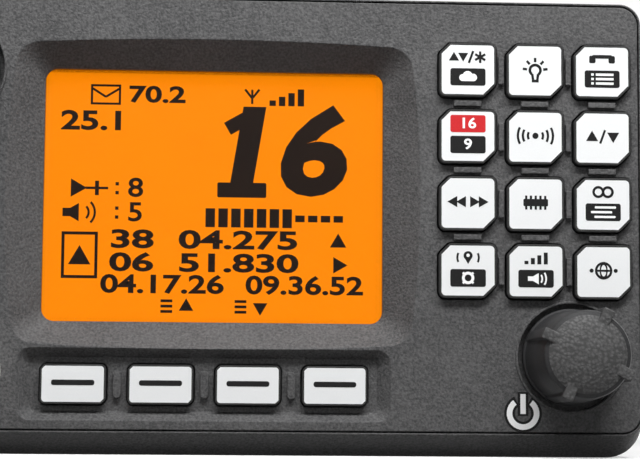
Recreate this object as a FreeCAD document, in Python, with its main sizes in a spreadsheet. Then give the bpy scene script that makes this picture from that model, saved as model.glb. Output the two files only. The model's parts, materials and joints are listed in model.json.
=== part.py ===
import FreeCAD, Part
import math
import os
import Sketcher

# A fixed-mount marine VHF radio. The front faces -Y, +Z is up, and it stands on the plane z = 0.
# Depth is counted back from the face of the panel. All sizes are in millimetres.

doc = FreeCAD.newDocument("radio")
sheet = doc.addObject("Spreadsheet::Sheet", "Sizes")
pieces = []


class Size:
    """A number together with the expression that gives it."""

    def __init__(self, value, text):
        self.value = value
        self.text = text

    def __add__(self, other):
        other = as_size(other)
        return Size(self.value + other.value, f"({self.text} + {other.text})")

    def __sub__(self, other):
        other = as_size(other)
        return Size(self.value - other.value, f"({self.text} - {other.text})")

    def __mul__(self, other):
        other = as_size(other)
        return Size(self.value * other.value, f"({self.text} * {other.text})")

    def __truediv__(self, other):
        other = as_size(other)
        return Size(self.value / other.value, f"({self.text} / {other.text})")

    def __neg__(self):
        return Size(-self.value, f"(0 - {self.text})")

    def __radd__(self, other):
        return as_size(other) + self

    def __rsub__(self, other):
        return as_size(other) - self

    def __rmul__(self, other):
        return as_size(other) * self


def as_size(number):
    if isinstance(number, Size):
        return number
    return Size(float(number), repr(float(number)))


def size(alias, value):
    """Writes one driving dimension into the sheet."""
    row = size.row
    size.row += 1
    sheet.set(f"A{row}", alias)
    sheet.set(f"B{row}", str(value))
    sheet.setAlias(f"B{row}", alias)
    return Size(float(value), f"Sizes.{alias}")


size.row = 1

# Front bezel and panel
front_width = size("front_width", 180)
front_height = size("front_height", 82)
front_corner = size("front_corner", 6.5)
bezel_side_rim = size("bezel_side_rim", 1.0)
bezel_top_rim = size("bezel_top_rim", 1.1)
bezel_bottom_rim = size("bezel_bottom_rim", 4.1)
bezel_taper_depth = size("bezel_taper_depth", 5)
bezel_depth = size("bezel_depth", 24)
bezel_ledge = size("bezel_ledge", 0.9)
bezel_edge = size("bezel_edge", 0.3)
panel_corner = size("panel_corner", 3.2)
panel_gap = size("panel_gap", 0.3)
panel_thickness = size("panel_thickness", 3)
proud_knob = size("proud_knob", 17)

# Display
display_x = size("display_x", 13)
display_z = size("display_z", 45.95)
window_width = size("window_width", 60.5)
window_height = size("window_height", 45.2)
window_corner = size("window_corner", 2.3)
window_side_radius = size("window_side_radius", 4000)
hood_width = size("hood_width", 70.6)
hood_height = size("hood_height", 53.4)
hood_corner = size("hood_corner", 4.5)
hood_side_radius = size("hood_side_radius", 190)
hood_end_radius = size("hood_end_radius", 560)
hood_depth = size("hood_depth", 4)
hood_lip = size("hood_lip", 0.6)
hood_wall = size("hood_wall", 1.4)
lens_margin = size("lens_margin", 1.5)
lens_thickness = size("lens_thickness", 1.4)
lens_gap = size("lens_gap", 0.1)
module_margin = size("module_margin", 3.4)
module_thickness = size("module_thickness", 2.6)

# Twelve keys
keypad_x = size("keypad_x", 70)
keypad_z = size("keypad_z", 50.65)
key_pitch_x = size("key_pitch_x", 12.07)
key_pitch_z = size("key_pitch_z", 11.97)
key_width = size("key_width", 10.15)
key_height = size("key_height", 9.6)
key_corner = size("key_corner", 1.1)
key_cut_top = size("key_cut_top", 1.8)
key_cut_bottom = size("key_cut_bottom", 2.2)
key_gap = size("key_gap", 0.3)
key_proud = size("key_proud", 1.2)
key_travel = size("key_travel", 0.8)
plunger_radius = size("plunger_radius", 2.6)
key_flange = size("key_flange", 0.75)
key_flange_thickness = size("key_flange_thickness", 1)
key_rest_gap = size("key_rest_gap", 0.08)
rib_width = size("rib_width", 0.95)
rib_length = size("rib_length", 4.9)
rib_proud = size("rib_proud", 0.8)

# Four soft keys in their trough
soft_x = size("soft_x", 11.75)
soft_z = size("soft_z", 12.25)
soft_pitch = size("soft_pitch", 15.25)
soft_width = size("soft_width", 11.4)
soft_height = size("soft_height", 6.9)
soft_corner = size("soft_corner", 0.9)
soft_cut = size("soft_cut", 0.75)
soft_below_face = size("soft_below_face", 0.4)
trough_width = size("trough_width", 65.4)
trough_height = size("trough_height", 12.6)
trough_corner = size("trough_corner", 2.5)
trough_floor_width = size("trough_floor_width", 60.8)
trough_floor_height = size("trough_floor_height", 9.4)
trough_floor_corner = size("trough_floor_corner", 1.4)
trough_depth = size("trough_depth", 1.9)
soft_rib_width = size("soft_rib_width", 1.4)
soft_rib_length = size("soft_rib_length", 4.7)
soft_rib_proud = size("soft_rib_proud", 0.9)

# Knobs with their wells and encoders
knob_x = size("knob_x", 76.4)
knob_z = size("knob_z", 17.6)
second_knob_x = size("second_knob_x", -33.6)
second_knob_z = size("second_knob_z", 67.8)
well_radius = size("well_radius", 9.5)
well_depth = size("well_depth", 1.8)
well_rim = size("well_rim", 0.4)
well_rim_proud = size("well_rim_proud", 0.3)
skirt_radius = size("skirt_radius", 8.6)
skirt_back = size("skirt_back", 1.0)
skirt_thickness = size("skirt_thickness", 1.5)
knob_base_radius = size("knob_base_radius", 8.2)
knob_top_radius = size("knob_top_radius", 7.6)
knob_edge = size("knob_edge", 0.9)
knob_dome = size("knob_dome", 1.5)
dome_shoulder = size("dome_shoulder", 4.4)
dome_fall = size("dome_fall", 0.4)
knob_cap = size("knob_cap", 4.5)
skirt_edge = size("skirt_edge", 0.75)
lug_reach = size("lug_reach", 8.5)
lug_width = size("lug_width", 2)
lug_turn = size("lug_turn", 26)
knob_travel = size("knob_travel", 0.5)
shaft_radius = size("shaft_radius", 3)
shaft_gap = size("shaft_gap", 0.3)
tail_side = size("tail_side", 3)
running_gap = size("running_gap", 0.05)
rotor_radius = size("rotor_radius", 4.2)
rotor_length = size("rotor_length", 4)
encoder_side = size("encoder_side", 11)
encoder_floor = size("encoder_floor", 1.2)
encoder_clearance = size("encoder_clearance", 1)
sump_radius = size("sump_radius", 2.25)
tail_gap = size("tail_gap", 0.3)

# Boards in the front
board_depth = size("board_depth", 12)
board_thickness = size("board_thickness", 1.6)
board_left = size("board_left", -42)
board_right = size("board_right", 86.5)
board_bottom = size("board_bottom", 5.6)
board_top = size("board_top", 78.8)
mat_thickness = size("mat_thickness", 1)
mat_margin = size("mat_margin", 1.2)
post_radius = size("post_radius", 2.4)
post_inset = size("post_inset", 2.7)
post_left = size("post_left", -23.5)
post_right = size("post_right", 48.8)
small_screw_radius = size("small_screw_radius", 1.1)
small_head_radius = size("small_head_radius", 2.1)
small_head_height = size("small_head_height", 1.5)
small_screw_length = size("small_screw_length", 6)
screw_gap = size("screw_gap", 0.12)

# Speaker and its slots
speaker_x = size("speaker_x", -57.5)
speaker_z = size("speaker_z", 45.6)
speaker_radius = size("speaker_radius", 24.4)
speaker_lip = size("speaker_lip", 2.6)
speaker_sheet = size("speaker_sheet", 0.8)
basket_depth = size("basket_depth", 7.5)
magnet_radius = size("magnet_radius", 12.5)
magnet_length = size("magnet_length", 8)
cloth_thickness = size("cloth_thickness", 0.4)
cloth_margin = size("cloth_margin", 0.8)
cloth_corner = size("cloth_corner", 7.3)
speaker_rim = size("speaker_rim", 1.2)
basket_radius = size("basket_radius", 11.2)
basket_hole = size("basket_hole", 6.2)
cone_gap = size("cone_gap", 0.1)
cone_front = size("cone_front", 0.2)
cone_thickness = size("cone_thickness", 0.6)
cone_depth = size("cone_depth", 4.1)
dust_cap_depth = size("dust_cap_depth", 3.4)
surround_width = size("surround_width", 2)
slot_height = size("slot_height", 4.3)
slot_pitch = size("slot_pitch", 6.5)
slot_left = size("slot_left", -84)
slot_right = size("slot_right", -24.8)
slot_short_right = size("slot_short_right", -47.5)
slot_step = size("slot_step", 2.2)
slot_middle_z = size("slot_middle_z", 47)
slot_count = 7
end_share = 0.45

# Microphone socket
mic_x = size("mic_x", -33.1)
mic_z = size("mic_z", 14.2)
mic_flange_radius = size("mic_flange_radius", 9.6)
mic_flange_thickness = size("mic_flange_thickness", 1.2)
mic_sleeve_radius = size("mic_sleeve_radius", 8.2)
mic_bore_radius = size("mic_bore_radius", 6.5)
mic_proud = size("mic_proud", 6)
mic_bore_depth = size("mic_bore_depth", 8)
mic_step = size("mic_step", 0.5)
mic_contact_radius = size("mic_contact_radius", 0.6)
mic_contact_ring = size("mic_contact_ring", 3.8)
mic_contact_depth = size("mic_contact_depth", 4.8)
mic_contact_count = 7

# Distress key under its cover
distress_x = size("distress_x", -66.5)
distress_z = size("distress_z", 12.6)
distress_width = size("distress_width", 15)
distress_height = size("distress_height", 7)
distress_corner = size("distress_corner", 1)
pocket_width = size("pocket_width", 27)
pocket_height = size("pocket_height", 12.6)
pocket_depth = size("pocket_depth", 1.6)
pocket_corner = size("pocket_corner", 0.6)
cover_gap = size("cover_gap", 0.3)
cover_wall = size("cover_wall", 0.9)
hinge_radius = size("hinge_radius", 1.2)
hinge_proud = size("hinge_proud", 1)
hinge_lug = size("hinge_lug", 1.6)
hinge_pin_radius = size("hinge_pin_radius", 0.6)
distress_face_depth = size("distress_face_depth", 0.2)

# Rear chassis
gasket_thickness = size("gasket_thickness", 1.2)
flange_inset = size("flange_inset", 2.4)
flange_thickness = size("flange_thickness", 3)
chassis_width = size("chassis_width", 156)
chassis_low = size("chassis_low", 3)
chassis_high = size("chassis_high", 76)
chassis_corner = size("chassis_corner", 4)
chassis_depth = size("chassis_depth", 84)
chassis_wall = size("chassis_wall", 3)
skid_width = size("skid_width", 10)
skid_x = size("skid_x", 60)
root = size("root", 1)
fin_thickness = size("fin_thickness", 1.8)
fin_pitch = size("fin_pitch", 6.4)
rear_fin_depth = size("rear_fin_depth", 9)
rear_fin_low = size("rear_fin_low", 32)
rear_fin_high = size("rear_fin_high", 74)
rear_fin_count = 22
top_fin_height = size("top_fin_height", 3)
top_fin_start = size("top_fin_start", 14)
top_fin_count = 22
case_screw_x = size("case_screw_x", 83.6)
case_screw_low = size("case_screw_low", 7.6)
case_screw_high = size("case_screw_high", 75.6)
case_screw_radius = size("case_screw_radius", 1.5)
case_screw_length = size("case_screw_length", 11)
case_head_radius = size("case_head_radius", 2.7)
case_head_height = size("case_head_height", 2)
case_boss_radius = size("case_boss_radius", 4.6)
case_boss_length = size("case_boss_length", 9)
insert_radius = size("insert_radius", 10)
insert_length = size("insert_length", 9)
insert_bore = size("insert_bore", 2.5)
insert_depth = size("insert_depth", 46)
insert_z = size("insert_z", 41)

# Rear fittings
antenna_x = size("antenna_x", 52)
rear_fitting_z = size("rear_fitting_z", 18)
antenna_thread_radius = size("antenna_thread_radius", 7.9)
antenna_thread_length = size("antenna_thread_length", 13)
antenna_flange_side = size("antenna_flange_side", 25.4)
antenna_flange_thickness = size("antenna_flange_thickness", 1.6)
antenna_inner_radius = size("antenna_inner_radius", 6.2)
antenna_corner = size("antenna_corner", 2)
antenna_recess = size("antenna_recess", 1.5)
antenna_hole_depth = size("antenna_hole_depth", 7.8)
antenna_hole_radius = size("antenna_hole_radius", 1.9)
gland_x = size("gland_x", -48)
data_gland_x = size("data_gland_x", -14)
gland_radius = size("gland_radius", 7)
gland_tip_radius = size("gland_tip_radius", 4.6)
gland_collar = size("gland_collar", 3)
gland_length = size("gland_length", 15)
gland_hole_radius = size("gland_hole_radius", 1.9)
gland_hole_depth = size("gland_hole_depth", 12)
data_gland_share = size("data_gland_share", 0.75)

# Radio board and modules
main_board_width = size("main_board_width", 138)
main_board_length = size("main_board_length", 68)
main_board_z = size("main_board_z", 28)
main_board_start = size("main_board_start", 6)
standoff_radius = size("standoff_radius", 3.2)
standoff_inset = size("standoff_inset", 6)
shield_width = size("shield_width", 60)
shield_length = size("shield_length", 44)
shield_height = size("shield_height", 10)
shield_wall = size("shield_wall", 0.6)
power_width = size("power_width", 46)
power_length = size("power_length", 18)
power_height = size("power_height", 8)
shield_x = size("shield_x", -22)
shield_start = size("shield_start", 10)
power_x = size("power_x", 38)
power_start = size("power_start", 30)
ribbon_width = size("ribbon_width", 24)
ribbon_lift = size("ribbon_lift", 9)
ribbon_run = size("ribbon_run", 8)
ribbon_landing = size("ribbon_landing", 4)
ribbon_thickness = size("ribbon_thickness", 0.6)

# Derived places
chassis_front = bezel_depth + gasket_thickness
chassis_back = chassis_front + chassis_depth
rear_reach = chassis_back + gland_length
face_y = (proud_knob - rear_reach) / 2
panel_low = bezel_bottom_rim + panel_gap
panel_high = front_height - bezel_top_rim - panel_gap
panel_half = front_width / 2 - bezel_side_rim - panel_gap
flange_low = flange_inset
flange_high = front_height - flange_inset
flange_half = front_width / 2 - flange_inset
lens_front = hood_depth + hood_lip
module_front = lens_front + lens_thickness
flange_front = panel_thickness + key_rest_gap
plunger_front = flange_front + key_flange_thickness + key_travel + key_rest_gap
post_low_z = board_bottom + post_inset
post_high_z = board_top - post_inset
post_places = [(post_left, post_low_z), (post_right, post_low_z),
               (post_left, post_high_z), (post_right, post_high_z)]
hinge_z = distress_z + pocket_height / 2 - hinge_radius - cover_gap
case_screw_places = [(case_screw_x * side, z) for side in (-1, 1) for z in (case_screw_low, case_screw_high)]


def drive(item, prop, value):
    item.setExpression(prop, as_size(value).text)


def place(item, x=0, y=0, z=0):
    for prop, value in (("x", x), ("y", y), ("z", z)):
        drive(item, f"Placement.Base.{prop}", value)


def keep(item, label):
    item.Label = label
    pieces.append(item)
    return item


def new_body(label, x=0, depth=0, z=0):
    """A body whose origin lies at the given place, with depth counted from the face."""
    body = doc.addObject("PartDesign::Body", label)
    place(body, x, face_y + depth, z)
    return keep(body, label)


def plane(body, role):
    return next(item for item in body.Origin.OriginFeatures if item.Role == role)


def sketch_at(body, depth=0, role="XZ_Plane"):
    """A sketch facing the front, at a depth behind its body's origin."""
    sketch = body.newObject("Sketcher::SketchObject", body.Name + "_outline")
    sketch.AttachmentSupport = [(plane(body, role), "")]
    sketch.MapMode = "FlatFace"
    drive(sketch, "AttachmentOffset.Base.z", -as_size(depth))
    return sketch


def constrain(sketch, driven, fixed=()):
    """Adds fixed constraints, then dimensions that follow their expressions."""
    first = sketch.ConstraintCount + len(fixed)
    dimensions = [Sketcher.Constraint(*where, value.value) for *where, value in driven]
    sketch.addConstraint(list(fixed) + dimensions)
    for number, dimension in enumerate(driven):
        sketch.setExpression(f"Constraints[{first + number}]", dimension[-1].text)


def circle(sketch, x, z, radius):
    x, z, radius = as_size(x), as_size(z), as_size(radius)
    centre = FreeCAD.Vector(x.value, z.value, 0)
    number = sketch.addGeometry(Part.Circle(centre, FreeCAD.Vector(0, 0, 1), radius.value))
    constrain(sketch, [
        ("DistanceX", -1, 1, number, 3, x), ("DistanceY", -1, 1, number, 3, z), ("Radius", number, radius),
    ])


def polygon(sketch, points):
    """Straight runs from point to point and back to the first."""
    points = [(as_size(x), as_size(z)) for x, z in points]
    first = sketch.GeometryCount
    corners = [FreeCAD.Vector(x.value, z.value, 0) for x, z in points]
    count = len(corners)
    sketch.addGeometry([Part.LineSegment(corners[number], corners[(number + 1) % count])
                        for number in range(count)])
    joined = [Sketcher.Constraint("Coincident", first + number, 2, first + (number + 1) % count, 1)
              for number in range(count)]
    driven = []
    for number, (x, z) in enumerate(points):
        driven.append(("DistanceX", -1, 1, first + number, 1, x))
        driven.append(("DistanceY", -1, 1, first + number, 1, z))
    constrain(sketch, driven, joined)


def rectangle(sketch, x, z, width, height):
    left, right = x - width / 2, x + width / 2
    low, high = z - height / 2, z + height / 2
    polygon(sketch, [(left, low), (right, low), (right, high), (left, high)])


def rounded(sketch, corners):
    """An outline of arcs joined by tangent lines; each corner is its arc's centre and radius."""
    corners = [(as_size(x), as_size(z), as_size(radius)) for x, z, radius in corners]
    count = len(corners)
    normals = []
    for number in range(count):
        x0, z0, r0 = (item.value for item in corners[number])
        x1, z1, r1 = (item.value for item in corners[(number + 1) % count])
        length = math.hypot(x1 - x0, z1 - z0)
        ux, uz = (x1 - x0) / length, (z1 - z0) / length
        lean = (r0 - r1) / length
        out = math.sqrt(1 - lean * lean)
        normals.append((lean * ux + out * uz, lean * uz - out * ux))
    first = sketch.GeometryCount
    for number, (x, z, radius) in enumerate(corners):
        before, after = normals[number - 1], normals[number]
        centre = FreeCAD.Vector(x.value, z.value, 0)
        start = math.atan2(before[1], before[0])
        end = math.atan2(after[1], after[0])
        round_edge = Part.Circle(centre, FreeCAD.Vector(0, 0, 1), radius.value)
        sketch.addGeometry(Part.ArcOfCircle(round_edge, start, end))
    for number in range(count):
        nx, nz = normals[number]
        ends = []
        for x, z, radius in (corners[number], corners[(number + 1) % count]):
            ends.append(FreeCAD.Vector(x.value + nx * radius.value, z.value + nz * radius.value, 0))
        sketch.addGeometry(Part.LineSegment(*ends))
    joined = []
    driven = []
    for number, (x, z, radius) in enumerate(corners):
        line = first + count + number
        following = first + (number + 1) % count
        joined.append(Sketcher.Constraint("Tangent", first + number, 2, line, 1))
        joined.append(Sketcher.Constraint("Tangent", line, 2, following, 1))
        driven.append(("DistanceX", -1, 1, first + number, 3, x))
        driven.append(("DistanceY", -1, 1, first + number, 3, z))
        driven.append(("Radius", first + number, radius))
    constrain(sketch, driven, joined)


def rounded_rectangle(sketch, x, z, width, height, radius):
    left, right = x - width / 2 + radius, x + width / 2 - radius
    low, high = z - height / 2 + radius, z + height / 2 - radius
    rounded(sketch, [(left, low, radius), (right, low, radius), (right, high, radius), (left, high, radius)])


def bowed_rectangle(sketch, x, z, width, height, radius, side_radius, end_radius):
    """A rectangle whose four sides are long arcs that bow outwards between round corners."""
    half_x = width.value / 2 - radius.value
    half_z = height.value / 2 - radius.value
    r, side, end = radius.value, side_radius.value, end_radius.value
    side_angle = math.asin(half_z / (side - r))
    end_angle = math.asin(half_x / (end - r))
    axis = FreeCAD.Vector(0, 0, 1)
    first = sketch.GeometryCount
    signs = [(1, -1), (1, 1), (-1, 1), (-1, -1)]
    spans = [(end_angle - math.pi / 2, -side_angle), (side_angle, math.pi / 2 - end_angle),
             (math.pi / 2 + end_angle, math.pi - side_angle),
             (math.pi + side_angle, 1.5 * math.pi - end_angle)]
    for (sx, sz), (start, stop) in zip(signs, spans):
        centre = FreeCAD.Vector(x.value + sx * half_x, z.value + sz * half_z, 0)
        sketch.addGeometry(Part.ArcOfCircle(Part.Circle(centre, axis, r), start, stop))
    side_shift = (side - r) * math.cos(side_angle) - half_x
    end_shift = (end - r) * math.cos(end_angle) - half_z
    long_arcs = [(-side_shift, 0, side, 0, side_angle), (0, -end_shift, end, math.pi / 2, end_angle),
                 (side_shift, 0, side, math.pi, side_angle), (0, end_shift, end, 1.5 * math.pi, end_angle)]
    for dx, dz, long_radius, middle, half_angle in long_arcs:
        centre = FreeCAD.Vector(x.value + dx, z.value + dz, 0)
        long_circle = Part.Circle(centre, axis, long_radius)
        sketch.addGeometry(Part.ArcOfCircle(long_circle, middle - half_angle, middle + half_angle))
    joined = []
    driven = []
    for number, (sx, sz) in enumerate(signs):
        long_arc = first + 4 + number
        joined.append(Sketcher.Constraint("Tangent", first + number, 2, long_arc, 1))
        joined.append(Sketcher.Constraint("Tangent", long_arc, 2, first + (number + 1) % 4, 1))
        driven.append(("DistanceX", -1, 1, first + number, 3, x + sx * (width / 2 - radius)))
        driven.append(("DistanceY", -1, 1, first + number, 3, z + sz * (height / 2 - radius)))
        driven.append(("Radius", first + number, radius))
    for number, long_radius in enumerate((side_radius, end_radius, side_radius, end_radius)):
        driven.append(("Radius", first + 4 + number, long_radius))
    constrain(sketch, driven, joined)


def feature(body, kind, sketch, length=None, backwards=True):
    """A pad or a pocket; backwards means away from the front."""
    item = body.newObject(f"PartDesign::{kind}", body.Name + "_" + kind.lower())
    item.Profile = sketch
    if length is None:
        item.Type = "ThroughAll"
    else:
        drive(item, "Length", length)
    item.Reversed = backwards if kind == "Pad" else not backwards
    sketch.Visibility = False
    return item


def loft(body, kind, sketches):
    item = body.newObject(f"PartDesign::{kind}", body.Name + "_" + kind.lower())
    item.Profile = sketches[0]
    item.Sections = sketches[1:]
    item.Ruled = True
    return item


def turned(body, points):
    """A profile of radius and depth turned about the body's own front-to-back axis."""
    sketch = sketch_at(body, 0, "XY_Plane")
    polygon(sketch, points)
    item = body.newObject("PartDesign::Revolution", body.Name + "_turned")
    item.Profile = sketch
    item.ReferenceAxis = (sketch, ["V_Axis"])
    item.Angle = 360
    return item


def box(name, x, depth, z, width, length, height):
    """A block whose x and z are its middle and whose depth is its front."""
    item = doc.addObject("Part::Box", name)
    for prop, value in (("Length", width), ("Width", length), ("Height", height)):
        drive(item, prop, value)
    place(item, x - width / 2, face_y + depth, z - height / 2)
    return item


def rod(name, x, depth, z, radius, length):
    """A cylinder that lies front to back, from the given depth backwards."""
    item = doc.addObject("Part::Cylinder", name)
    drive(item, "Radius", radius)
    drive(item, "Height", length)
    item.Placement.Rotation = FreeCAD.Rotation(FreeCAD.Vector(1, 0, 0), -90)
    place(item, x, face_y + depth, z)
    return item


def cut(label, base, tools):
    """The base with each tool taken out of it."""
    for number, tool in enumerate(tools):
        item = doc.addObject("Part::Cut", f"{label}_cut_{number + 1}")
        item.Base = base
        item.Tool = tool
        base = item
    return base


def group(label, items):
    """Separate solids kept together as one piece."""
    item = doc.addObject("Part::Compound", label)
    item.Links = items
    return keep(item, label)


def key_corners(width, height, radius, cut_top, cut_bottom):
    """Corners of a key with its upper left and lower right cut off at 45 degrees."""
    ease = radius * math.tan(math.pi / 8)
    left, right = radius - width / 2, width / 2 - radius
    low, high = radius - height / 2, height / 2 - radius
    return [
        (left, low, radius),
        (width / 2 - cut_bottom - ease, low, radius),
        (right, cut_bottom + ease - height / 2, radius),
        (right, high, radius),
        (cut_top + ease - width / 2, high, radius),
        (left, height / 2 - cut_top - ease, radius),
    ]


def moved(corners, x, z):
    return [(x + corner_x, z + corner_z, radius) for corner_x, corner_z, radius in corners]


def hole_corners(width, height, radius, cut_top, cut_bottom):
    """The same outline with the key's gap all round it."""
    wider = key_gap * (2 - math.sqrt(2))
    return key_corners(width + 2 * key_gap, height + 2 * key_gap, radius + key_gap,
                       cut_top + wider, cut_bottom + wider)


key_cap = key_corners(key_width, key_height, key_corner, key_cut_top, key_cut_bottom)
key_hole = hole_corners(key_width, key_height, key_corner, key_cut_top, key_cut_bottom)
soft_cap = key_corners(soft_width, soft_height, soft_corner, soft_cut, soft_cut)
soft_hole = hole_corners(soft_width, soft_height, soft_corner, soft_cut, soft_cut)
key_places = [(keypad_x + (column - 1) * key_pitch_x, keypad_z + (1.5 - row) * key_pitch_z)
              for row in range(4) for column in range(3)]
soft_places = [(soft_x + (column - 1.5) * soft_pitch, soft_z) for column in range(4)]
knob_places = [(knob_x, knob_z), (second_knob_x, second_knob_z)]


def slots():
    """Left end, right end and height of each speaker slot, from the top down."""
    rows = []
    for row in range(slot_count):
        step = row - slot_count // 2
        left = slot_left + slot_step * max(0, abs(step) - 1)
        right = slot_short_right if step < -1 else slot_right - slot_step * max(0, step - 1)
        rows.append((left, right, slot_middle_z - slot_pitch * step))
    return rows


def make_front_bezel():
    body = new_body("front_bezel")
    middle = (panel_low + panel_high) / 2
    edge = sketch_at(body)
    rounded_rectangle(edge, as_size(0), middle, 2 * (panel_half + panel_gap + bezel_edge),
                      panel_high - panel_low + 2 * (panel_gap + bezel_edge),
                      panel_corner + panel_gap + bezel_edge)
    outer = sketch_at(body, bezel_taper_depth)
    rounded_rectangle(outer, as_size(0), front_height / 2, front_width, front_height, front_corner)
    loft(body, "AdditiveLoft", [edge, outer])
    rest = sketch_at(body, bezel_taper_depth)
    rounded_rectangle(rest, as_size(0), front_height / 2, front_width, front_height, front_corner)
    feature(body, "Pad", rest, bezel_depth - bezel_taper_depth)
    seat = sketch_at(body)
    rounded_rectangle(seat, as_size(0), middle, 2 * (panel_half + panel_gap),
                      panel_high - panel_low + 2 * panel_gap, panel_corner + panel_gap)
    feature(body, "Pocket", seat, panel_thickness)
    inside = sketch_at(body, panel_thickness)
    rounded_rectangle(inside, as_size(0), middle, 2 * (panel_half + panel_gap - bezel_ledge),
                      panel_high - panel_low + 2 * (panel_gap - bezel_ledge), panel_corner)
    feature(body, "Pocket", inside)
    bosses = sketch_at(body, bezel_depth - case_boss_length)
    for x, z in case_screw_places:
        circle(bosses, x, z, case_boss_radius)
    feature(body, "Pad", bosses, case_boss_length)
    holes = sketch_at(body, bezel_depth)
    for x, z in case_screw_places:
        circle(holes, x, z, case_screw_radius + screw_gap)
    feature(body, "Pocket", holes, case_boss_length, backwards=False)


def make_front_panel():
    body = new_body("front_panel")
    middle = (panel_low + panel_high) / 2
    plate = sketch_at(body)
    rounded_rectangle(plate, as_size(0), middle, 2 * panel_half, panel_high - panel_low, panel_corner)
    feature(body, "Pad", plate, panel_thickness)

    # the display's hood, its sloped recess and the rebate behind it
    pan = sketch_at(body)
    rounded_rectangle(pan, display_x, display_z, hood_width + 2 * hood_wall, hood_height + 2 * hood_wall,
                      hood_corner)
    feature(body, "Pad", pan, lens_front + lens_thickness)
    mouth = sketch_at(body)
    bowed_rectangle(mouth, display_x, display_z, hood_width, hood_height, hood_corner,
                    hood_side_radius, hood_end_radius)
    floor = sketch_at(body, hood_depth)
    bowed_rectangle(floor, display_x, display_z, window_width, window_height, window_corner,
                    window_side_radius, window_side_radius)
    loft(body, "SubtractiveLoft", [mouth, floor])
    window = sketch_at(body, hood_depth - hood_lip)
    rounded_rectangle(window, display_x, display_z, window_width, window_height, window_corner)
    feature(body, "Pocket", window)
    rebate = sketch_at(body, lens_front)
    rounded_rectangle(rebate, display_x, display_z, window_width + 2 * (lens_margin + lens_gap),
                      window_height + 2 * (lens_margin + lens_gap), window_corner + lens_gap)
    feature(body, "Pocket", rebate)

    # openings and ribs of the keypad
    for row in range(4):
        openings = sketch_at(body)
        for x, z in key_places[3 * row:3 * row + 3]:
            rounded(openings, moved(key_hole, x, z))
        feature(body, "Pocket", openings, panel_thickness)
    upright = sketch_at(body)
    for row in range(4):
        for side in (-0.5, 0.5):
            rectangle(upright, keypad_x + side * key_pitch_x, keypad_z + (1.5 - row) * key_pitch_z,
                      rib_width, rib_length)
    feature(body, "Pad", upright, rib_proud, backwards=False)
    level = sketch_at(body)
    for row in range(3):
        for column in range(3):
            rectangle(level, keypad_x + (column - 1) * key_pitch_x, keypad_z + (1 - row) * key_pitch_z,
                      rib_length, rib_width)
    feature(body, "Pad", level, rib_proud, backwards=False)

    # the soft keys' trough
    brim = sketch_at(body)
    rounded_rectangle(brim, soft_x, soft_z, trough_width, trough_height, trough_corner)
    bed = sketch_at(body, trough_depth)
    rounded_rectangle(bed, soft_x, soft_z, trough_floor_width, trough_floor_height, trough_floor_corner)
    loft(body, "SubtractiveLoft", [brim, bed])
    openings = sketch_at(body)
    for x, z in soft_places:
        rounded(openings, moved(soft_hole, x, z))
    feature(body, "Pocket", openings, panel_thickness)
    ribs = sketch_at(body, trough_depth)
    for number in range(3):
        rounded_rectangle(ribs, soft_x + (number - 1) * soft_pitch, soft_z, soft_rib_width, soft_rib_length,
                          soft_rib_width * end_share)
    feature(body, "Pad", ribs, soft_rib_proud, backwards=False)

    # wells of the two knobs, each with a thin raised rim and a hole for its shaft
    rims = sketch_at(body)
    wells = sketch_at(body, -well_rim_proud)
    holes = sketch_at(body)
    for x, z in knob_places:
        circle(rims, x, z, well_radius + well_rim)
        circle(wells, x, z, well_radius)
        circle(holes, x, z, shaft_radius + shaft_gap)
    feature(body, "Pad", rims, well_rim_proud, backwards=False)
    feature(body, "Pocket", wells, well_rim_proud + well_depth)

    # the distress key's pocket, with a lug at each side that holds the cover's pin
    pocket = sketch_at(body)
    rounded_rectangle(pocket, distress_x, distress_z, pocket_width, pocket_height, pocket_corner)
    feature(body, "Pocket", pocket, pocket_depth)
    lugs = sketch_at(body)
    for side in (-0.5, 0.5):
        rectangle(lugs, distress_x + side * (pocket_width + hinge_lug), hinge_z, hinge_lug, 2 * hinge_radius)
    feature(body, "Pad", lugs, hinge_proud + hinge_radius, backwards=False)
    bore = sketch_at(body, -(distress_x - pocket_width / 2 - hinge_lug), "YZ_Plane")
    circle(bore, -hinge_proud, hinge_z, hinge_pin_radius)
    feature(body, "Pocket", bore, pocket_width + 2 * hinge_lug, backwards=False)

    # holes for the shafts, the microphone socket and the distress key, and the speaker slots
    circle(holes, mic_x, mic_z, mic_sleeve_radius + running_gap)
    rounded_rectangle(holes, distress_x, distress_z, distress_width + 2 * key_gap,
                      distress_height + 2 * key_gap, distress_corner + key_gap)
    for left, right, z in slots():
        rounded_rectangle(holes, (left + right) / 2, z, right - left, slot_height, slot_height * end_share)
    feature(body, "Pocket", holes, panel_thickness)

    # posts that carry the control board
    posts = sketch_at(body, panel_thickness)
    for x, z in post_places:
        circle(posts, x, z, post_radius)
    feature(body, "Pad", posts, board_depth - panel_thickness)
    pilots = sketch_at(body, board_depth)
    for x, z in post_places:
        circle(pilots, x, z, small_screw_radius + screw_gap)
    feature(body, "Pocket", pilots, small_screw_length, backwards=False)


def make_display():
    lens = new_body("display_lens", display_x, lens_front, display_z)
    outline = sketch_at(lens)
    rounded_rectangle(outline, as_size(0), as_size(0), window_width + 2 * lens_margin,
                      window_height + 2 * lens_margin, window_corner)
    feature(lens, "Pad", outline, lens_thickness)
    module_width = window_width + 2 * module_margin
    module_height = window_height + 2 * module_margin
    keep(box("module", display_x, module_front, display_z, module_width, module_thickness, module_height),
         "lcd_module")
    light_front = module_front + module_thickness
    light_length = board_depth - light_front
    keep(box("light", display_x, light_front, display_z, module_width, light_length, module_height),
         "backlight")


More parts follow.
